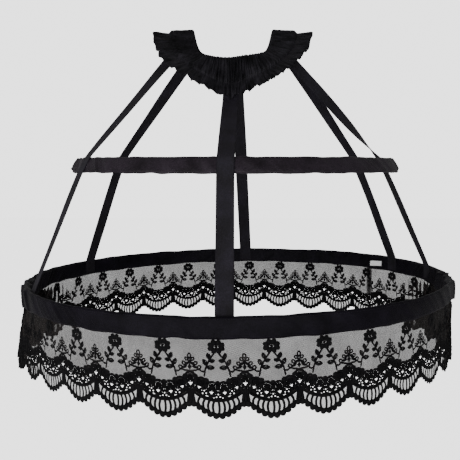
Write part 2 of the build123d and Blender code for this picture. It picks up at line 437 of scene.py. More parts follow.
# %% The skins of the band
def band_points(rows, side):
    """The points of one skin of the band: side is 1 for the outer skin and -1 for the inner."""
    layers = []
    for row in rows:
        free = np.clip((row - channel_width) / frill_width, 0, 1)
        r, z, angle = band_middle(row)
        r = r + np.cos(angle) * hem_extra * free
        z = z - np.sin(angle) * hem_extra * free
        # The channel is puffed between the rim and the stitches, and the frill is thin.
        rim = math.sqrt(max(0.0, 1 - (1 - min(row / rim_round, 1)) ** 2))
        pinch = 1 - math.exp(-(((row - channel_width) / stitch_pinch) ** 2))
        if row <= channel_width:
            room = fold_room * rim * (0.25 + 0.75 * pinch)
            size = (0.6 + 1.4 * rim) * MM * (0.35 + 0.65 * pinch)
        else:
            room = (0.5 + 0.5 * (1 - free)) * MM
            size = (0.35 + 0.35 * free) * MM
        dice = wander(turn, 8, 30, 0.25, int(row * 1e5) % 97 + 11)
        fold = pleats(row, pleat_pitch, 5) * 0.75 + pleats(row, pleat_pitch * 1.63, 9) * 0.45
        at_rim = row < 0.1 * MM
        if at_rim or row >= band_width - 0.1 * MM:
            room = 0.0 if at_rim else hem_thickness
        skin = room + size * fold * (1 + 0.5 * dice) * (1.0 if side > 0 else 0.5)
        skin = skin if at_rim else np.maximum(skin, least_thickness)
        # Both skins of the frill swing together in flutes that grow to the hem.
        flute = pleats(channel_width + 0.3 * (row - channel_width), flute_pitch, 21, 1.6)
        swing = (flute + 1) / 2 * flute_depth * free**1.15
        rim_wave = wander(turn, 30, 110, 0.45, 31) * MM * math.exp(-row / (3 * MM))
        r = r + np.sin(angle) * (side * skin + swing)
        z = z + np.cos(angle) * (side * skin + swing) + rim_wave
        layers.append(round_loop(r, azimuth, z))
    return np.stack(layers, 1)


# %% Build the band
points = np.concatenate([band_points(outer_rows, 1), band_points(inner_rows, -1)], 1)
rows_all = np.concatenate([outer_rows, 2 * band_width - inner_rows, [2 * band_width]])
band_mesh = grid_mesh(
    "waistband_gathers", points, np.append(along, band_length), rows_all, True, True
)
waistband = finish_piece(
    "waistband_gathers", band_mesh, cotton, ["waistband"]
)

# %% The elastic inside
# A flat ribbed webbing that follows the channel. It shows only where the channel is opened.
elastic_half, elastic_inset = 0.8 * MM, 2.8 * MM
skins = []
for side, rows in ((1, np.linspace(0, 1, 9)), (-1, np.linspace(1, 0, 9))):
    for share in rows:
        r, z, angle = band_middle(elastic_inset + share * (channel_width - 2 * elastic_inset))
        r, z = r + np.sin(angle) * side * elastic_half, z + np.cos(angle) * side * elastic_half
        skins.append(round_loop(r, azimuth, z)[::5])
elastic_mesh = grid_mesh(
    "waist_elastic_webbing", np.stack(skins, 1), np.append(along[::5], band_length),
    np.arange(19) * 4.5 * MM, True, True,
)
elastic = finish_piece(
    "waist_elastic_webbing", elastic_mesh, elastic_weave, ["waist_elastic"]
)

# %% [markdown]
# ## The hoops' places
# Both casings are rings. The upper one leans in like a cone with the tapes, and the lower one
# stands upright and hangs a little higher on one side.

# %% Places of the hoops
upper_drop, upper_radius, upper_width = 169 * MM, 260.5 * MM, 25 * MM
upper_lean, upper_shift = math.radians(28), 3.9 * MM
lower_drop, lower_radius, lower_width = 366.3 * MM, 347 * MM, 28.5 * MM
lower_tilt, lower_shift = math.radians(0.85), 7.5 * MM
casing_thickness, casing_seam, bone_room = 6 * MM, 3 * MM, 2.1 * MM
casing_columns = 720
upper_hoop = (np.array([upper_shift, 0, -upper_drop]), 0.0)
lower_hoop = (np.array([lower_shift, 0, -lower_drop]), lower_tilt)


def turned(x, y, angle):
    """A place turned anticlockwise round the origin."""
    return x * math.cos(angle) - y * math.sin(angle), x * math.sin(angle) + y * math.cos(angle)


def on_hoop(hoop, a, radius, height):
    """The point at an azimuth, a radius and a height above a hoop's own level plane."""
    origin, tilt = hoop
    x, y = radius * np.sin(a), -radius * np.cos(a) + 0 * height
    x, z = turned(x, height + 0 * x, tilt)
    return origin + np.stack([x, y, z], -1)


def along_hoop(hoop, a):
    """The direction of the hoop at an azimuth."""
    tilt = hoop[1]
    return np.array([math.cos(a) * math.cos(tilt), math.sin(a), math.cos(a) * math.sin(tilt)])


print("lower hoop is", round(2 * lower_radius * 1000), "mm across the middle of its casing")

# %% [markdown]
# ## The casings
# Each casing is a strip of sateen folded round the flat bone and stitched along both edges. It is
# fullest over the bone and thins to the stitching. The cloth is a little longer than the bone, so
# it ruckles: shallow slanting creases, and edges that aren't quite straight.

# %% Build a casing
crease_size, fine_crease, edge_wobble, ring_wobble = 0.7 * MM, 0.34 * MM, 0.5 * MM, 0.35 * MM
bunch_reach = 13  # degrees to either side of a bunch


def casing_mesh(name, hoop, radius, width, lean, seed, crush, bunch_out, bunch_down):
    """A flattened tube round a hoop. Its cloth bunches at the azimuths in crush, where it swells
    outward and its lower edge drops by the two sizes given."""
    a = np.linspace(0, 2 * math.pi, casing_columns, endpoint=False)
    flat_half, full = width / 2 - casing_seam, casing_thickness / 2
    # The section, anticlockwise from the foot of the outer face: (outward, upward).
    flat_rows = np.linspace(-1, 1, 9)
    outer = [(1.0, row) for row in flat_rows]
    inner = [(-1.0, row) for row in flat_rows[::-1]]
    edge_top = [(0.82, 1.08), (0.36, 1.2), (-0.36, 1.2), (-0.82, 1.08)]
    edge_low = [(-x, -y) for x, y in edge_top]
    section = outer + edge_top + inner + edge_low
    bunch = sum(near(a, centre, bunch_reach) for centre in crush)
    rows = []
    for out, up in section:
        over = math.copysign(flat_half + (abs(up) - 1) / 0.2 * casing_seam, up)
        rise = up * flat_half if abs(up) <= 1 else over
        body = 0.72 + 0.28 * math.cos(up / 1.2 * math.pi / 2)
        slant = a + up * 0.035  # creases lean a little
        crease = wander(slant, 9, 60, crease_size, seed)
        crease = crease + wander(slant, 60, 190, fine_crease, seed + 1)
        crease = crease * (1 + 3.6 * bunch) * (1 if abs(up) <= 1 else 0.4)
        side = 1 if out > 0 else -1
        swell = full * abs(out) * body + crease + bunch * bunch_out * (abs(up) <= 1)
        if abs(out) > 0.9:  # the cloth always stands clear of the bone
            swell = np.maximum(swell, bone_room)
        edge = wander(a, 8, 60, edge_wobble, seed + (3 if up > 0 else 4)) * (abs(up) > 0.7)
        lift = rise + edge + wander(a, 2, 9, ring_wobble, seed + 5)
        lift = lift - bunch * bunch_down * max(0.0, -up)
        push = side * swell
        rows.append((
            radius + push * math.cos(lean) - lift * math.sin(lean),
            push * math.sin(lean) + lift * math.cos(lean),
        ))
    points = np.stack([on_hoop(hoop, a, r, z) for r, z in rows], 1)
    row_gap = width * 2 / len(section) + 0.3 * MM
    reach = np.concatenate([[0], np.cumsum([row_gap] * len(section))])
    round_it = np.linspace(0, 2 * math.pi * radius, casing_columns + 1)
    return grid_mesh(name, points, round_it, reach, True, True)


# The azimuths where a casing bunches are in degrees.
casings = []
for side, hoop, radius, width, lean, seed, crush, out, down, cloth, flat in (
    ("upper", upper_hoop, upper_radius, upper_width, upper_lean, 41, (93, -86), 0.8, 1.5,
     sateen, (0.027, 1.64)),
    # The lower casing takes the darker copy of the sateen, which paints in its shade.
    ("lower", lower_hoop, lower_radius, lower_width, 0.0, 51, (82, -79), 3.4, 11.0,
     shaded_sateen, (0.031, 2.18)),
):
    name = f"{side}_casing_sateen"
    mesh = casing_mesh(name, hoop, radius, width, lean, seed, crush, out * MM, down * MM)
    casings.append(finish_piece(name, mesh, cloth, [f"{side}_casing"]))

# %% [markdown]
# ## The tapes
# Six flat woven tapes carry the hoops. Each is stitched under the frill, lies over the outside of
# the upper casing, and ends on the inside of the lower casing. A tape bends in a small curve where
# it meets a casing, bows a little across its width where it is free, and has a firm selvedge.

# %% Where each tape runs
strap_width, strap_thickness = 24 * MM, 1 * MM
strap_clearance, strap_bend_lead, strap_foot, strap_tuck = 0.3 * MM, 1.5 * MM, 4 * MM, 1.2 * MM
frill_thickness, seam_gap, steep_share = 3 * MM, 0.8 * MM, 0.5
strap_half_angle = math.radians(6)
# Azimuths in degrees at the waist, the upper hoop and the lower hoop.
strap_azimuths = {
    "front_strap": (-1.8, -3.1, -3.1),
    "left_front_strap": (-55.7, -59.3, -63.3),
    "left_back_strap": (-134.0, -124.4, -122.5),
    "back_strap": (176.4, 176.9, 176.5),
    "right_back_strap": (122.0, 119.9, 118.2),
    "right_front_strap": (49.0, 101.3, 98.7),
}
waist_level = (np.zeros(3), 0.0)


def unit(v):
    """The same direction, one metre long."""
    return v / np.linalg.norm(v)


def seam_points(a):
    """The stitch line and the hem of the frill at an azimuth."""
    r, z = band_edge(a)
    channel, frill = band_slopes(a)
    stitch = (r + math.cos(channel) * channel_width, z - math.sin(channel) * channel_width)
    hem = (stitch[0] + math.cos(frill) * frill_width, stitch[1] - math.sin(frill) * frill_width)
    return [on_hoop(waist_level, a, *place) for place in (stitch, hem)]


def strap_stations(waist, upper, lower):
    """The tape's middle line, as (point, direction across the tape)."""
    stitch, hem = seam_points(waist)
    before, after = seam_points(waist - strap_half_angle), seam_points(waist + strap_half_angle)
    down_frill = unit(hem - stitch)
    tuck = (frill_thickness + strap_thickness) / 2 + strap_clearance
    tuck += strap_tuck * (1 - sidewardness(waist))
    places = [stitch + down_frill * seam_gap]
    if sidewardness(waist) < steep_share:
        places.append(hem)
    stations = []
    for index, place in enumerate(places):
        across = unit(after[index] - before[index])
        stations.append((place + unit(np.cross(across, down_frill)) * tuck, across))
    out = np.array([math.cos(upper_lean), math.sin(upper_lean)])
    down = np.array([math.sin(upper_lean), -math.cos(upper_lean)])
    half_flat = upper_width / 2 - casing_seam + strap_bend_lead
    stand_off = (casing_thickness + strap_thickness) / 2 + strap_clearance
    for reach in (-half_flat, half_flat):
        r, z = np.array([upper_radius, 0]) + out * stand_off + down * reach
        stations.append((on_hoop(upper_hoop, upper, r, z), along_hoop(upper_hoop, upper)))
    inside = lower_radius - casing_thickness / 2
    sagitta = inside - math.sqrt(inside**2 - (strap_width / 2) ** 2)
    radius = inside - sagitta - strap_clearance - strap_thickness / 2
    for height in (lower_width / 2 - strap_bend_lead, strap_foot - lower_width / 2):
        place = on_hoop(lower_hoop, lower, radius, height)
        stations.append((place, along_hoop(lower_hoop, lower)))
    return stations


# %% Build the tapes
across_steps = np.linspace(-1, 1, 13)
easing_passes = 10
path_step, free_length = 2 * MM, 0.15  # a tape over 150 mm long bows and ripples in full
tape_bow, tape_ripple, tape_curl = 0.9 * MM, 0.5 * MM, 0.6 * MM
twist_late, twisted_over = 3.6, 30  # a tape that turns over 30 degrees is a twisted one


def smooth_path(stations, late=1.0):
    """Points along a tape, with each corner rounded, and how free the tape is there.
    A twisted tape keeps the slope that it leaves the waist with, and turns late if late is over 1.
    """
    corners = [point for point, _ in stations]
    sides = [across for _, across in stations]
    path, widths, free = [], [], []
    for index in range(len(corners) - 1):
        a, b = corners[index], corners[index + 1]
        length = np.linalg.norm(b - a)
        steps = max(2, round(length / path_step))
        for t in np.linspace(0, 1, steps, endpoint=index == len(corners) - 2):
            path.append(a + (b - a) * t)
            twist = t**late
            widths.append(unit(sides[index] * (1 - twist) + sides[index + 1] * twist))
            free.append(math.sin(math.pi * t) * min(1, length / free_length))
    path, widths, free = np.array(path), np.array(widths), np.array(free)
    for _ in range(easing_passes):  # each one eases the corners a little further
        path[1:-1] = (path[:-2] + 2 * path[1:-1] + path[2:]) / 4
    return path, widths, free


for number, (name, azimuths) in enumerate(strap_azimuths.items()):
    late = twist_late if abs(azimuths[1] - azimuths[0]) > twisted_over else 1.0
    path, widths, free = smooth_path(strap_stations(*np.radians(azimuths)), late)
    heading = np.gradient(path, axis=0)
    heading /= np.linalg.norm(heading, axis=1)[:, None]
    widths -= heading * (widths * heading).sum(1)[:, None]
    widths /= np.linalg.norm(widths, axis=1)[:, None]
    outward = np.cross(widths, heading)
    reach = distances(path)
    dice = np.random.default_rng(60 + number)
    bow = -tape_bow * free * dice.uniform(0.6, 1.2)
    ripple = tape_ripple * free * np.sin(reach / (37 * MM) + dice.uniform(0, 6))
    curl = tape_curl * free * np.sin(reach / (61 * MM) + dice.uniform(0, 6))
    rings = []
    for face in (1, -1):
        for c in across_steps[::face]:
            selvedge = (1.15 if abs(c) > 0.86 else 1.0) * (0.45 if abs(c) > 0.99 else 1.0)
            skin = face * strap_thickness / 2 * selvedge * 0.9
            lift = bow * c**2 + ripple + curl * c + skin
            rings.append(path + widths * c * strap_width / 2 + outward * lift[:, None])
    points = np.stack(rings, 1)
    v = np.arange(len(rings) + 1) * 2 * MM
    mesh = grid_mesh(f"{name}_tape", points, reach, v, False, True, caps=True)
    tape = finish_piece(f"{name}_tape", mesh, tape_weave, [name])

# %% [markdown]
# ## The lace edging: one repeat
# The edging is machine embroidery on fine net: a rosette, two leafy sprays, a small sprig over
# each valley, a band of "peacock eyes", a fan of open loops and a heavy corded border with
# scallops. One repeat is drawn flat, in millimetres from the casing's lower edge, as an
# embroiderer would draft it. A satin-stitched line is a low ridge of thread and a petal is a low
# dome, so everything is made by five small makers: cord, ring, petal, leaf and eye.

# %% Makers of one motif
repeats = 32
thread_swell = 0.65  # twisted thread spreads this much wider than its drawn line
repeat_width = 2 * math.pi * lower_radius / repeats / MM
valley = repeat_width / 2
motif_points, motif_faces, motif_uvs = [], [], []


def keep(points, faces, uvs):
    """Adds a line of thread or a petal to the motif."""
    start = sum(len(p) for p in motif_points)
    motif_points.append(points)
    motif_faces.extend([start + k for k in face] for face in faces)
    motif_uvs.append(uvs)


def curve_through(points, step=1.6):
    """Points at even steps along a smooth curve through the given ones (x, z)."""
    p = np.array(points, float)
    p = np.vstack([2 * p[0] - p[1], p, 2 * p[-1] - p[-2]])
    dense = []
    for i in range(1, len(p) - 2):
        for t in np.linspace(0, 1, 12, endpoint=i == len(p) - 3):
            a, b, c, d = p[i - 1 : i + 3]
            dense.append(
                0.5 * (2 * b + (c - a) * t + (2 * a - 5 * b + 4 * c - d) * t * t
                       + (3 * b - a - 3 * c + d) * t**3)
            )
    dense = np.array(dense)
    far = distances(dense)
    at = np.linspace(0, far[-1], max(2, round(far[-1] / step) + 1))
    return np.stack([np.interp(at, far, dense[:, k]) for k in (0, 1)], 1)


def cord(points, width, height=0.9, closed=False, ends=0.45):
    """A ridge of thread along a line. Its section is a flat lozenge."""
    line = np.array(points, float)
    count = len(line)
    around = np.roll(line, -1, 0) - np.roll(line, 1, 0)
    ahead = around if closed else np.gradient(line, axis=0)
    ahead /= np.maximum(np.linalg.norm(ahead, axis=1), 1e-9)[:, None]
    aside = np.stack([-ahead[:, 1], ahead[:, 0]], 1)
    taper = np.ones(count)
    if not closed:
        taper[0] = taper[-1] = ends
    half = (width + thread_swell) / 2 * taper
    verts = np.stack([
        np.stack([
            line[:, 0] + aside[:, 0] * half * s, height / 2 * taper * o,
            line[:, 1] + aside[:, 1] * half * s,
        ], 1)
        for s, o in ((1, 0), (0, 1), (-1, 0), (0, -1))
    ], 1)
    far = distances(line)
    u = np.append(far, far[-1] + 1.4) * MM
    faces, uvs = grid_faces(count, 4, u, np.linspace(0, width, 5) * MM, closed, True, not closed)
    keep(verts.reshape(-1, 3), faces, uvs)


# %% [markdown]
# A satin-stitched shape is raised in the middle, so a petal is two low domes set edge to edge. A
# leaf is an outline of cord with a rib, since its inside is left open.


# %% Makers of petals and leaves
def oval(x, z, wide, tall, angle=0.0, step=1.6):
    """Points on an oval, anticlockwise from its right."""
    count = max(6, round(2 * math.pi * (wide + tall) / 2 / step))
    t = np.radians(np.linspace(0, 360, count, endpoint=False))
    px, pz = turned(wide * np.cos(t), tall * np.sin(t), math.radians(angle))
    return np.stack([x + px, z + pz], 1)


def ring(x, z, wide, tall=None, width=1.0, angle=0.0):
    """A closed cord on an oval."""
    cord(oval(x, z, wide, tall or wide, angle), width, closed=True)


def petal(x, z, wide, tall, angle=0.0, height=1.5, sides=10):
    """A filled shape worked in satin stitch: two low domes, edge to edge."""
    edge = oval(x, z, wide, tall, angle, step=(wide + tall) * math.pi / sides)
    inner = np.array([x, z]) + (edge - [x, z]) * 0.55
    count = len(edge)
    flat = np.zeros(count)
    verts = [np.stack([edge[:, 0], flat, edge[:, 1]], 1)]
    for side in (1, -1):
        verts.append(np.stack([inner[:, 0], flat + side * height / 2 * 0.85, inner[:, 1]], 1))
    verts.append(np.array([[x, height / 2, z], [x, -height / 2, z]]))
    faces, uvs = [], []
    for k in range(count):
        n = (k + 1) % count
        for side in (0, 1):
            base, tip = count * (1 + side), 3 * count + side
            wall = [k, n, base + n, base + k]
            cap = [base + k, base + n, tip]
            faces += [wall, cap] if side else [wall[::-1], cap[::-1]]
            uvs += [[k, 0], [n, 0], [n, 1], [k, 1], [k, 1], [n, 1], [k, 2]]
    keep(np.concatenate(verts), faces, np.array(uvs) * MM)


def leaf(base, tip, width):
    """An outlined leaf with a rib."""
    base, tip = np.array(base, float), np.array(tip, float)
    middle, ahead = (base + tip) / 2, tip - base
    aside = np.array([-ahead[1], ahead[0]]) / np.linalg.norm(ahead) * width / 2
    cord(curve_through([base, middle + aside, tip], 1.7), 1.25)
    cord(curve_through([base, middle - aside, tip], 1.7), 1.25)
    cord(curve_through([base, middle, tip - ahead * 0.15], 2.4), 1.2)


def mirrored(points):
    """The same points on the other side of the middle line."""
    return [(-x, z) for x, z in points]


def whole(left_half):
    """A symmetric line from its left half, which ends on the middle."""
    return left_half + mirrored(left_half[::-1])[1:]


def sides_of(x):
    """Both sides, or one for what stands on the middle line."""
    return (1, -1) if x else (1,)


def spoke(degrees, wide, tall=None):
    """The point of an oval round the origin at an angle."""
    t = math.radians(degrees)
    return wide * math.cos(t), (wide if tall is None else tall) * math.sin(t)


# %% [markdown]
# The motif is symmetric, so most lines are drawn once and mirrored. Whatever sits over a valley is
# drawn at the right-hand side only, since the next repeat brings its left half.

# %% Draw the rosette and the sprays
# The rosette: eight full petals round a small hub, held by four spokes.
rosette_z = -9.2
for k in range(8):
    x, z = spoke(22.5 + 45 * k, 7.3, 5.4)
    facing = math.degrees(math.atan2(z, x))
    petal(x, rosette_z + z, 4.1, 3.3, facing, 1.9)
    ring(x, rosette_z + z, 3.4, 2.7, 0.7, facing)
petal(0, rosette_z, 1.9, 1.6, 0, 2.3)
for t in (0, 90, 180, 270):
    x, z = spoke(t, 1)
    cord([(1.5 * x, rosette_z + 1.5 * z), (5.4 * x, rosette_z + 3.8 * z)], 1.3)

# The sprays: a stem from the rosette to the band, with two leaves inside and two outside.
stem = [(2.2, -16.4), (7.6, -23.4), (11.8, -30.6), (14.6, -37.0), (16.6, -46.0)]
sprays = [
    ((8.6, -25.0), (11.6, -17.0), 4.0),
    ((12.4, -32.6), (17.2, -24.6), 4.4),
    ((9.8, -27.0), (2.0, -26.0), 3.6),
    ((13.4, -34.4), (2.8, -34.9), 4.6),
]
for flip in (list, mirrored):
    cord(curve_through(flip(stem)), 1.7)
    for base, tip, width in sprays:
        leaf(*flip([base, tip]), width)
    # A thin line joins the spray to the sprig beside it.
    cord(curve_through(flip([(15.2, -38.6), (18.8, -39.6), (22.4, -36.8)])), 1.6)

# %% [markdown]
# Over each valley stands a sprig, a little tree of rings and leaves between two rosettes. It is
# drawn round the valley's line, and its middle row of petals has no mirror image.

# %% Draw the sprig
for side in (1, -1):
    for x, z, size in ((3.7, -24.4, 2.1), (7.4, -29.6, 2.2), (11.8, -34.6, 2.3)):
        ring(valley + side * x, z, size, size * 0.85, 1.5, side * 35)
        cord([(valley + side * (x - 1.4), z - 1.6), (valley + side * 0.4, z - 5.6)], 1.3)
    petal(valley + side * 3.4, -30.0, 3.1, 1.9, -side * 40)
    petal(valley + side * 6.4, -34.2, 3.3, 2.0, -side * 28)
    foot = [(valley + side * x, z) for x, z in ((12.4, -37.0), (6, -38.4), (0, -38.9))]
    cord(curve_through(foot), 1.6)
ring(valley, -20.4, 2.0, 2.6, 1.4)
cord([(valley, -22.6), (valley, -30.0), (valley, -38.0)], 1.6)
petal(valley, -27.4, 1.7, 2.3)
petal(valley, -34.0, 2.2, 3.0)

# %% [markdown]
# The eyes are the main ornament, an open band across the strip. Each has a heavy outline round a
# beaded head, so that it reads from a few steps away, and one function draws them at any lean.


# %% Draw the eyes
def eye(x, z, size, lean_by=0.0):
    """A peacock eye: a round head with a beaded rim, a hub, and a heart-shaped spot below it."""
    t = math.radians(lean_by)

    def place(px, pz):
        px, pz = turned(px, pz, t)
        return x + px, z + pz

    head = [spoke(k, size) for k in range(-25, 206, 21)]
    outline = [(0, -1.9 * size), (0.66 * size, -1.12 * size)] + head
    outline += [(-0.66 * size, -1.12 * size), (0, -1.9 * size)]
    cord(curve_through([place(*p) for p in outline]), 2.6, 1.5, ends=1.0)
    cord([place(*(p * 0.48)) for p in oval(0, 0, size, size, step=2.2)], 2.2, closed=True)
    petal(*place(0, 0), 1.9, 1.9, 0, 1.6, 8)
    for k in range(-6, 190, 28):
        cord([place(*spoke(k, 0.5 * size)), place(*spoke(k, 0.98 * size))], 1.8)
    # Shoulders close the sides of the spot and leave its heart shape open.
    for side in (1, -1):
        shoulder = [(0.95, -0.2), (0.6, -0.66), (0.0, -0.9)]
        cord(curve_through([place(side * px * size, pz * size) for px, pz in shoulder]), 2.2)


eye(valley, -46.6, 6.5)
for side in (1, -1):
    eye(side * 21.0, -52.6, 5.7, side * 20)
    eye(side * 7.4, -58.4, 6.0, side * 7)

# %% [markdown]
# Small petals fill the band between the eyes. They are rows of a table, because no rule gives
# their places, and each is drawn on both sides of the middle.

# %% Fill the band
# First the band's bumpy upper edge, then what fills it.
for x, z, size in ((0, -53.0, 2.8), (14.2, -50.6, 3.7), (27.8, -45.4, 3.7)):
    for side in sides_of(x):
        petal(side * x, z, size, size * 0.9, 0, 1.4)
        ring(side * x, z, size - 0.7, size * 0.9 - 0.7, 0.8)
for x, z, wide, tall, angle in (
    (14.3, -57.4, 2.3, 4.2, 24), (28.2, -52.4, 2.4, 4.6, 34), (0, -59.4, 1.5, 4.2, 0),
    (28.0, -60.0, 3.2, 2.2, 40), (9.6, -70.6, 3.2, 2.2, 14), (24.2, -64.6, 3.0, 2.2, 34),
    (13.2, -63.2, 2.2, 1.9, 10), (3.9, -66.0, 2.6, 1.5, -30), (31.0, -56.6, 2.6, 3.0, 0),
    (22.4, -61.6, 1.8, 2.8, 30), (12.6, -67.6, 2.4, 2.0, 0), (6.0, -69.6, 2.0, 2.2, 20),
    (29.4, -63.4, 2.4, 1.7, 40), (18.6, -60.2, 2.2, 1.3, 10), (0, -64.6, 2.0, 1.6, 0),
):
    for side in sides_of(x):
        petal(side * x, z, wide, tall, side * angle, 1.3)
# Trefoils of small open rings below the eyes.
for x, z in ((17.2, -65.4), (0, -70.0)):
    for side in sides_of(x):
        for dx, dz in ((-2.3, -0.9), (2.3, -0.6), (0, 2.4)):
            ring(side * x + dx, z + dz, 1.95, 1.8, 1.55)
        petal(side * x, z + 0.2, 1.5, 1.3, 0, 1.2, 8)
        for dx, dz in ((-4.0, 1.4), (4.0, 1.6), (0, -2.6)):
            petal(side * x + dx, z + dz, 1.9, 1.5, 0, 1.2, 8)

# %% [markdown]
# Below the eyes two cords frame a fan of bars, and a heavy border with scallops ends the strip.
# The bars run between two lines that are already drawn, so they follow when a line is changed.

# %% Draw the fan and the border
# Two cords frame the fan.
fan_top = whole([(-32.6, -60.5), (-28.5, -66.0), (-20, -71.0), (-10, -74.5), (0, -75.6)])
cord(curve_through(fan_top), 2.6, 1.7, ends=1.0)
inner_line = whole([(-31.5, -58.4), (-26, -64.4), (-18, -69.4), (-9, -72.6), (0, -73.8)])
cord(curve_through(inner_line), 1.7, 1.2, ends=1.0)

# The fan's bars spread from the cord to the border and bow outward, so the gaps look like petals.
border = whole([(-valley, -77.4), (-27.5, -80.6), (-18.5, -87.2), (-9, -92.2), (0, -94.0)])
top_line, low_line = curve_through(fan_top, 0.5), curve_through(border, 0.5)
bars_each_side, bar_spacing, top_half, low_half = 4, 1 / 4.6, 25.6, 29.0
for k in range(-bars_each_side, bars_each_side + 1):
    x_top, x_low = top_half * k * bar_spacing, low_half * k * bar_spacing
    z_top = np.interp(x_top, top_line[:, 0], top_line[:, 1])
    z_low = np.interp(x_low, low_line[:, 0], low_line[:, 1])
    bow_out = 0.8 if k == 0 else math.copysign(1.6, k)
    middle = ((x_top + x_low) / 2 + bow_out, (z_top + z_low) / 2 + 1.0)
    bar = curve_through([(x_top, z_top), middle, (x_low, z_low + 2.0)], 2.0)
    cord(bar, 2.5, 1.3, ends=1.4)

# The border: a heavy cord with a row of scallops worked over it.
cord(low_line[::3] + [0, 1.4], 3.2, 2.0, ends=1.0)
edge_run = distances(low_line)
scallops, scallop_inset = 10, 3.4
for far in np.linspace(scallop_inset, edge_run[-1] - scallop_inset, scallops):
    x, z = (np.interp(far, edge_run, low_line[:, k]) for k in (0, 1))
    petal(x, z - 0.7, 4.3, 4.0, 0, 1.8, 12)
    ring(x, z - 0.7, 3.4, 3.2, 0.8)
# The valley's solid bar.
cord([(valley, -57.5), (valley, -62), (valley, -68), (valley, -74), (valley, -79.0)], 4.6, 1.5)
for side in (1, -1):
    flank = [(valley + side * x, z) for x, z in ((2.2, -61.5), (2.6, -69), (4.0, -76.5))]
    cord(curve_through(flank), 3.4, 1.6, ends=0.8)

# %% Make the motif
pressed = 1.035  # the finished strip was pressed a little deeper than it was drawn
motif_all = np.concatenate(motif_points) * MM
motif_all[:, 2] *= pressed
# The strip was sewn on a little askew, so its hem runs ahead of its heading.
skew, skew_start = -0.029, 2.6 * MM
motif_all[:, 0] += motif_all[:, 2] * skew - skew_start
motif_mesh = mesh_from("lace_motif", motif_all, motif_faces, np.concatenate(motif_uvs))
motif_triangles = sum(len(f) - 2 for f in motif_faces)
print(f"motif: {motif_triangles} triangles, {np.ptp(motif_all[:, 2]) * 1000:.0f} mm deep")

# %% [markdown]
# ## Bending the lace round the hoop
# One node group hangs anything flat round the lower hoop: the distance along the strip becomes an
# angle, and the depth becomes height. Lace isn't stiff, so it stands off in slow waves that grow
# with depth, and it flares where the strip was sewn on with a little fullness.


# %% The hanging group
socket_kinds = {float: "Float", int: "Int", tuple: "Vector", type(None): "Material"}


def new_group(name, sizes):
    """A geometry group with a mesh in, a mesh out, and named inputs with their usual values."""
    tree = bpy.data.node_groups.new(name, "GeometryNodeTree")
    face = tree.interface
    face.new_socket("Geometry", in_out="INPUT", socket_type="NodeSocketGeometry")
    for label, value in sizes.items():
        kind = f"NodeSocket{socket_kinds[type(value)]}"
        socket = face.new_socket(label, in_out="INPUT", socket_type=kind)
        if value is not None:
            socket.default_value = value
    face.new_socket("Geometry", in_out="OUTPUT", socket_type="NodeSocketGeometry")
    leave = tree.nodes.new("NodeGroupOutput")
    return tree, tree.nodes.new("NodeGroupInput").outputs, leave.inputs[0]


hang_sizes = {
    "Radius": lower_radius, "Start Azimuth": 0.0, "Top": 0.0, "Depth": 0.1, "Wave": 0.002,
    "Flare": 0.01, "Flare Azimuth": 0.0, "Folds": 120.0, "Fold Depth": 0.004, "Tilt": 0.0,
    "Origin": (0.0, 0.0, 0.0),
}
hang, size, leave = new_group("Hang round a hoop", hang_sizes)
plus, times = partial(math_node, hang, "ADD"), partial(math_node, hang, "MULTIPLY")
power = partial(math_node, hang, "POWER")
position = hang.nodes.new("GeometryNodeInputPosition").outputs[0]
along_strip, aside, level = add(hang, "ShaderNodeSeparateXYZ", Vector=position).outputs
angle = plus(math_node(hang, "DIVIDE", along_strip, size["Radius"]), size["Start Azimuth"])
sine, cosine = math_node(hang, "SINE", angle), math_node(hang, "COSINE", angle)
depth = math_node(hang, "DIVIDE", times(level, -1.0), size["Depth"])
# Slow waves grow with depth, and so does the flare towards one azimuth.
circle = made(hang, "ShaderNodeCombineXYZ", X=sine, Y=cosine, Z=times(depth, 0.25))
noise = made(hang, "ShaderNodeTexNoise", Vector=circle, Scale=2.6, Detail=2.0)
wave = times(math_node(hang, "SUBTRACT", noise, 0.5), size["Wave"])
wave_gain, flare_sharpness, side_sharpness, opening = 4.0, 9.0, 16.0, 9.0
toward = math_node(hang, "COSINE", math_node(hang, "SUBTRACT", angle, size["Flare Azimuth"]))
bulge = times(power(math_node(hang, "MAXIMUM", toward, 0.0), flare_sharpness), size["Flare"])
swing = times(plus(times(wave, wave_gain), bulge), depth)
# At the two sides the strip has extra fullness and hangs in narrow folds.
sideways = power(math_node(hang, "ABSOLUTE", sine), side_sharpness)
fold = math_node(hang, "SINE", times(angle, size["Folds"]))
fold = times(times(fold, sideways), size["Fold Depth"])
opened = math_node(hang, "MINIMUM", times(depth, opening), 1.0)
opened = math_node(hang, "MAXIMUM", opened, 0.0)
radius = plus(plus(size["Radius"], aside), plus(swing, times(fold, opened)))
ring_point = made(
    hang, "ShaderNodeCombineXYZ",
    X=times(radius, sine), Y=times(times(radius, cosine), -1.0), Z=plus(level, size["Top"]),
)
tilted = made(
    hang, "ShaderNodeVectorRotate", {"rotation_type": "Y_AXIS"},
    Vector=ring_point, Angle=times(size["Tilt"], -1.0),
)
moved = made(
    hang, "ShaderNodeVectorMath", {"operation": "ADD"}, i0=tilted, i1=size["Origin"]
)
placed = made(hang, "GeometryNodeSetPosition", Geometry=size["Geometry"], Position=moved)
hang.links.new(placed, leave)

# %% [markdown]
# The second group lays out copies of the motif along a line, joins them to one mesh and hands them
# to the first group.

# %% The repeating group
strip, size, leave = new_group(
    "Repeat and hang",
    {"Repeats": 16, "Repeat Width": repeat_width * MM, "First Place": 0.0, **hang_sizes,
     "Material": None},
)


def copies(tree, points, one, **more):
    """Copies of a mesh at points, joined to one mesh."""
    many = made(tree, "GeometryNodeInstanceOnPoints", Points=points, Instance=one, **more)
    return made(tree, "GeometryNodeRealizeInstances", Geometry=many)


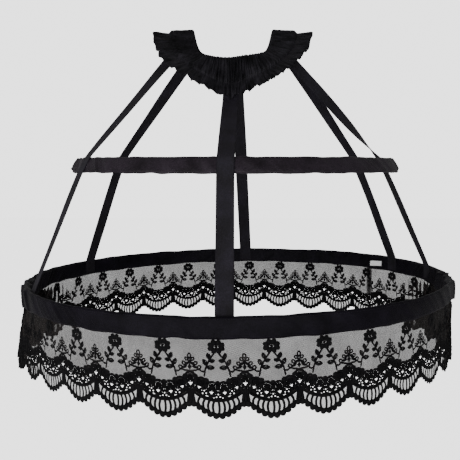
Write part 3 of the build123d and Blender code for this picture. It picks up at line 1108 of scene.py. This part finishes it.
def leave_dressed(tree, mesh, material, leave):
    """The last step of a group: its mesh gets its material."""
    dressed = made(tree, "GeometryNodeSetMaterial", Geometry=mesh, Material=material)
    tree.links.new(dressed, leave)


line = made(
    strip, "GeometryNodeMeshLine", Count=size["Repeats"],
    Start_Location=made(strip, "ShaderNodeCombineXYZ", X=size["First Place"]),
    Offset=made(strip, "ShaderNodeCombineXYZ", X=size["Repeat Width"]),
)
hung = strip.nodes.new("GeometryNodeGroup")
hung.node_tree = hang
strip.links.new(copies(strip, line, size["Geometry"]), hung.inputs["Geometry"])
for label in hang_sizes:
    strip.links.new(size[label], hung.inputs[label])
leave_dressed(strip, hung.outputs[0], size["Material"], leave)


def run_group(name, mesh, tree, **values):
    """Runs a node group once on a mesh and keeps the result as a plain mesh."""
    source = add_object("source", mesh)
    modifier = source.modifiers.new("nodes", "NODES")
    modifier.node_group = tree
    for item in tree.interface.items_tree:
        key = item.name.replace(" ", "_")
        if item.in_out == "INPUT" and key in values:
            modifier[item.identifier] = values[key]
    source.update_tag()
    bpy.context.view_layer.update()
    depsgraph = bpy.context.evaluated_depsgraph_get()
    shown = source.evaluated_get(depsgraph)
    result = bpy.data.meshes.new_from_object(shown, depsgraph=depsgraph)
    bpy.data.objects.remove(source)
    result.name = name
    result.shade_smooth()
    return result


# %% Hang the embroidery
lace_drop = 99 * MM
lace_hang = {
    "Radius": lower_radius,
    "Start_Azimuth": math.radians(6.8),
    "Top": -lower_width / 2,
    "Depth": lace_drop,
    "Wave": 2.2 * MM,
    "Flare": 16 * MM,
    "Folds": 163.0,
    "Fold_Depth": 8 * MM,
    "Flare_Azimuth": math.radians(-86),
    "Tilt": lower_tilt,
    "Origin": (lower_shift, 0, -lower_drop),
}
lengths = 4  # the strip is shared out over four pieces
for length in range(lengths):
    name = f"lace_embroidery_{length + 1}"
    mesh = run_group(
        name, motif_mesh, strip, Repeats=repeats // lengths, Repeat_Width=repeat_width * MM,
        First_Place=length * repeats / lengths * repeat_width * MM, Material=thread, **lace_hang,
    )
    finish_piece(name, mesh, thread)

# %% [markdown]
# ## The net
# Above the band of eyes the embroidery lies on a dense black net with holes of about a millimetre.
# It is one strip, joined by an overlap at the back right. The band of eyes is open work, so its
# holes are clear, and the fans keep one thinner layer of the net.
# The net is a sheet whose material is clear in the holes. A film between the threads stands for
# the finest yarns, which can't be told apart.

# %% The net's material
net_pitch = 1.3 * MM


def net_material(name, film):
    """Net with hexagonal holes. The film is how much the finest yarns cover of a hole."""
    material, tree, shader = new_material(name, Roughness=0.7, Specular_IOR_Level=0.15)
    place = uv_place(tree)
    net_wave = 2 * math.pi / net_pitch
    total = None
    for across, down in ((0, 1), (0.866, 0.5), (0.866, -0.5)):
        phase = math_node(
            tree, "ADD",
            math_node(tree, "MULTIPLY", place[0], across * net_wave),
            math_node(tree, "MULTIPLY", place[1], down * net_wave),
        )
        lines = math_node(tree, "COSINE", phase)
        total = lines if total is None else math_node(tree, "ADD", total, lines)
    hole = made(
        tree, "ShaderNodeMapRange", {"interpolation_type": "SMOOTHSTEP"}, Value=total,
        From_Min=-0.3, From_Max=0.7, To_Min=min(1.0, film + 0.4), To_Max=film,
    )
    cloud = object_noise(tree, 28.0, 3.0)
    cover = math_node(tree, "MULTIPLY", hole, spread(tree, cloud, 0.94, 1.05))
    tree.links.new(math_node(tree, "MINIMUM", cover, 1.0), shader.inputs["Alpha"])
    tone(tree, shader, cloud, "#110f0f", "#211d1c")
    bump(tree, shader, hole, 0.4, 0.2 * MM)
    return material


net = net_material("black embroidery net", 0.71)
thin_net = net_material("thinned embroidery net", 0.46)

# %% Cut and hang the net
net_columns, net_rows = repeats * 18 + 2, 15
overlap, seam_azimuth = 14 * MM, math.radians(128)
net_tuck = 3 * MM  # the net's top is caught inside the casing's seam
hoop_round = 2 * math.pi * lower_radius
net_start = (seam_azimuth - lace_hang["Start_Azimuth"]) * lower_radius - hoop_round
x = np.linspace(net_start, net_start + hoop_round + overlap, net_columns)
phase = (x / MM + valley) % repeat_width - valley
share = np.linspace(0, 1, net_rows)
lap = np.clip((x - x[-1] + overlap * 1.5) / (overlap * 1.5), 0, 1) * 0.9 * MM
# Faint folds run along the net near its top, and it ripples between the rosettes.
folds = 0.35 * MM * np.sin(share * 9)[None, :] * np.sin(x / MM / 23)[:, None]


def hang_net(name, top_edge, low_edge, material, replaces):
    """A strip of net between two lines (metres below the casing), hung round the hoop."""
    level = top_edge[:, None] + share[None, :] * (low_edge - top_edge)[:, None]
    points = np.stack([np.repeat(x[:, None], net_rows, 1), lap[:, None] + folds, level], -1)
    flat_mesh = grid_mesh(f"{name}_flat", points, x, np.zeros(net_rows))
    for loop, corner in zip(flat_mesh.loops, flat_mesh.uv_layers[0].data):
        at = flat_mesh.vertices[loop.vertex_index].co
        corner.uv = (at.x, at.z)
    mesh = run_group(name, flat_mesh, hang, **lace_hang)
    piece = finish_piece(name, mesh, material, replaces)


def strip_line(line):
    """A line of the motif (x, z), repeated along the strip."""
    line = np.array(line)
    return np.interp(phase, line[:, 0], line[:, 1]) * pressed * MM


band_top = whole([(-valley, -43.5), (-27.6, -46.5), (-21, -50.0), (-14, -52.8), (0, -55.2)])
hang_net("lace_net", np.full(net_columns, net_tuck), strip_line(band_top), net, ["lace_trim"])
hang_net("lace_fan_net", strip_line(inner_line), strip_line(border), thin_net, ())

# %% The join of the lace
# The strip's two ends are overcast together from the casing to the border: one thick ridge of
# thread, wound with turns that lie close.
for store in (motif_points, motif_faces, motif_uvs):
    store.clear()
join_middle = (net_start + overlap / 2) / MM
down_join = np.arange(0.5, -92, -1.5)
wobble = 0.35 * np.sin(down_join * 0.9)
cord(np.stack([join_middle + wobble, down_join], 1), 2.2, 1.9, ends=0.8)
join_uvs = np.concatenate(motif_uvs)
join_mesh = mesh_from("lace_join_flat", motif_points[0] * MM, motif_faces, join_uvs)
join_mesh = run_group("lace_join", join_mesh, hang, **lace_hang)
finish_piece("lace_join", join_mesh, thread)

# %% [markdown]
# ## The care label
# A blank tab of white satin, folded double and caught in the seam inside the lower casing. It
# hangs slightly skew and its free end curls.

# %% The label
label_width, label_height, label_azimuth = 30 * MM, 10 * MM, math.radians(125.5)
label_stand_off, label_thickness = 0.9 * MM, 0.45 * MM
label_curl, label_skew, label_drop = 1.8 * MM, 2.2 * MM, 2.0 * MM
label, tree, shader = new_material("white satin label", Roughness=0.4)
weft = math_node(tree, "MULTIPLY", uv_place(tree)[1], 2 * math.pi / (0.4 * MM))
tone(tree, shader, object_noise(tree, 300.0), "#f0f0f2", "#ffffff")
bump(tree, shader, math_node(tree, "SINE", weft), 0.3, 0.1 * MM)

label_count, label_rows = 24, 12
u = np.linspace(-0.5, 0.5, label_count)
v = np.linspace(0, 1, label_rows)
skin = []
for layer, flip in ((0.0, 1), (label_thickness, -1)):
    for w in v if flip > 0 else v[::-1][1:-1]:
        curl = label_curl * w**2 * (0.6 + 0.4 * np.sin(u * 5))
        skew = -u * label_skew - label_drop
        puff = layer * (1 - (2 * w - 1) ** 2 * 0.4)
        r = lower_radius - casing_thickness / 2 - label_stand_off - curl - puff
        a = label_azimuth + u * label_width / lower_radius
        skin.append(on_hoop(lower_hoop, a, r, label_height / 2 - w * label_height + skew))
points = np.stack(skin, 1)
label_mesh = grid_mesh(
    "care_label_tab", points, u * label_width,
    np.linspace(0, 2 * label_height, points.shape[1] + 1), False, True, caps=True,
)
label_piece = finish_piece(
    "care_label_tab", label_mesh, label, ["care_label"]
)

# %% [markdown]
# ## Stitches
# A row of short stitches follows each edge of the casings, and one closes the waist band's
# channel. One stitch is a small plump grain of 24 faces, and a node group sets it out along a
# line. The lines are taken from the cloth itself, so each stitch sinks half into it, as a pulled
# thread does.


# %% Stitch rows
stitch_pitch, stitch_length, stitch_thickness = 3.3 * MM, 2.4 * MM, 0.55 * MM
stitch, size, leave = new_group(
    "Stitches along a line",
    {"Pitch": stitch_pitch, "Length": stitch_length, "Thickness": stitch_thickness,
     "Material": None},
)
line = made(stitch, "GeometryNodeMeshToCurve", Mesh=size["Geometry"])
spots = add(
    stitch, "GeometryNodeCurveToPoints", {"mode": "LENGTH"}, Curve=line, Length=size["Pitch"]
).outputs
grain = made(stitch, "GeometryNodeMeshUVSphere", Segments=6, Rings=4, Radius=0.5)
girth = made(
    stitch, "ShaderNodeCombineXYZ",
    X=size["Thickness"], Y=size["Thickness"], Z=size["Length"],
)
grain = made(stitch, "GeometryNodeTransform", Geometry=grain, Scale=girth)
row = copies(stitch, spots["Points"], grain, Rotation=spots["Rotation"])
leave_dressed(stitch, row, size["Material"], leave)


def stitch_row(name, lines):
    """One piece of stitches over several closed lines of points."""
    points, edges = [], []
    for line_points in lines:
        start, count = len(points), len(line_points)
        points += [tuple(p) for p in line_points]
        edges += [(start + k, start + (k + 1) % count) for k in range(count)]
    mesh = bpy.data.meshes.new(name)
    mesh.from_pydata(points, edges, [])
    result = run_group(
        name, mesh, stitch, Pitch=stitch_pitch, Length=stitch_length,
        Thickness=stitch_thickness, Material=sewing,
    )
    finish_piece(name, result, sewing)


# The casing's rows where its flat faces end carry the stitches, on both faces.
for casing in casings:
    cloth = np.array([v.co for v in casing.data.vertices]).reshape(casing_columns, -1, 3)
    rows = [cloth[:, row] for row in (0, 8, 13, 21)]
    stitch_row(casing.name.replace("sateen", "stitches"), rows)
channel_row = band_points(np.array([channel_width]), 1)[::2, 0]
stitch_row("waistband_stitches", [channel_row])

# %% [markdown]
# ## The parts inside
# The bones and their sleeves are hidden in the casings and keep their engineering shapes. They
# still get their own finishes, for whoever opens a casing: a milky plastic bone with a brushed
# surface, and crimped sheet steel.


# %% Finishes for the inside parts
def stripe_material(name, dark, light, pitch, roughness, metallic=0.0):
    """A finish with fine lines round the object's vertical axis."""
    material, tree, shader = new_material(name, Roughness=roughness, Metallic=metallic)
    where = add(tree, "ShaderNodeTexCoord").outputs["Object"]
    place = add(tree, "ShaderNodeSeparateXYZ", Vector=where).outputs
    turned = math_node(tree, "ARCTAN2", place["X"], place["Y"])
    ribs = math_node(tree, "MULTIPLY", turned, 2 * math.pi * lower_radius / pitch)
    tone(tree, shader, object_noise(tree, 160.0, 5.0), dark, light)
    bump(tree, shader, math_node(tree, "SINE", ribs), 0.5, 0.2 * MM)
    return material


bone = stripe_material("milky plastic bone", "#cfcdc4", "#e8e7e0", 2.5 * MM, 0.45)
steel = stripe_material("crimped sheet steel", "#8d8f92", "#b9bbbd", 4.0 * MM, 0.35, 1.0)
for level in ("upper", "lower"):
    for name, finish in ((f"{level}_bone", bone), (f"{level}_bone_sleeve", steel)):
        nodes[name].data.materials.clear()
        nodes[name].data.materials.append(finish)
print("inside parts dressed")

# %% [markdown]
# ## Floor and light
# The cage hangs over a pale floor in a bright studio. One large soft light stands in front of it,
# to the left and above, and the room itself fills the shadows.

# %% Stage
floor_drop, floor_half = 0.45, 9.0
backdrop_glow, floor_glow, room_fill = 2.6, 2.14, 0.4
floor_z = cad_low[2] - floor_drop
corners = np.array([(-1, -1), (1, -1), (1, 1), (-1, 1)]) * floor_half
floor_mesh = bpy.data.meshes.new("floor")
floor_mesh.from_pydata([(x, y, floor_z) for x, y in corners], [], [(0, 1, 2, 3)])
floor = add_object("floor", floor_mesh)
pale, tree, shader = new_material(
    "pale studio floor", Roughness=0.9, Emission_Color=(1, 1, 1, 1)
)
tone(tree, shader, object_noise(tree, 1.5), "#f9f9f9", "#fdfdfd")
seen = add(tree, "ShaderNodeLightPath").outputs["Is Camera Ray"]
glow = math_node(tree, "MULTIPLY", seen, floor_glow)
tree.links.new(glow, shader.inputs["Emission Strength"])
floor_mesh.materials.append(pale)
floor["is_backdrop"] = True

world = bpy.data.worlds.new("studio")
bpy.context.scene.world = world
world.use_nodes = True
sky = world.node_tree
seen = add(sky, "ShaderNodeLightPath").outputs["Is Camera Ray"]
strength = spread(sky, seen, room_fill, backdrop_glow)
sky.nodes["Background"].inputs["Color"].default_value = (1, 1, 1, 1)
sky.links.new(strength, sky.nodes["Background"].inputs["Strength"])

key_place, key_aim = Vector((-0.6, -2.2, -0.35)), Vector((0, 0, -0.25))
key = add_object("key light", bpy.data.lights.new("key light", "AREA"))
key.data.energy, key.data.size = 55, 1.4
key.location = key_place
key.rotation_euler = (key_aim - key_place).to_track_quat("-Z", "Y").to_euler()

# %% Finish
low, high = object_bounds()
past = np.array(cad_low) - low, np.array(high) - cad_high
print("box grew by (mm):", *(np.round(side * 1000, 1) for side in past))
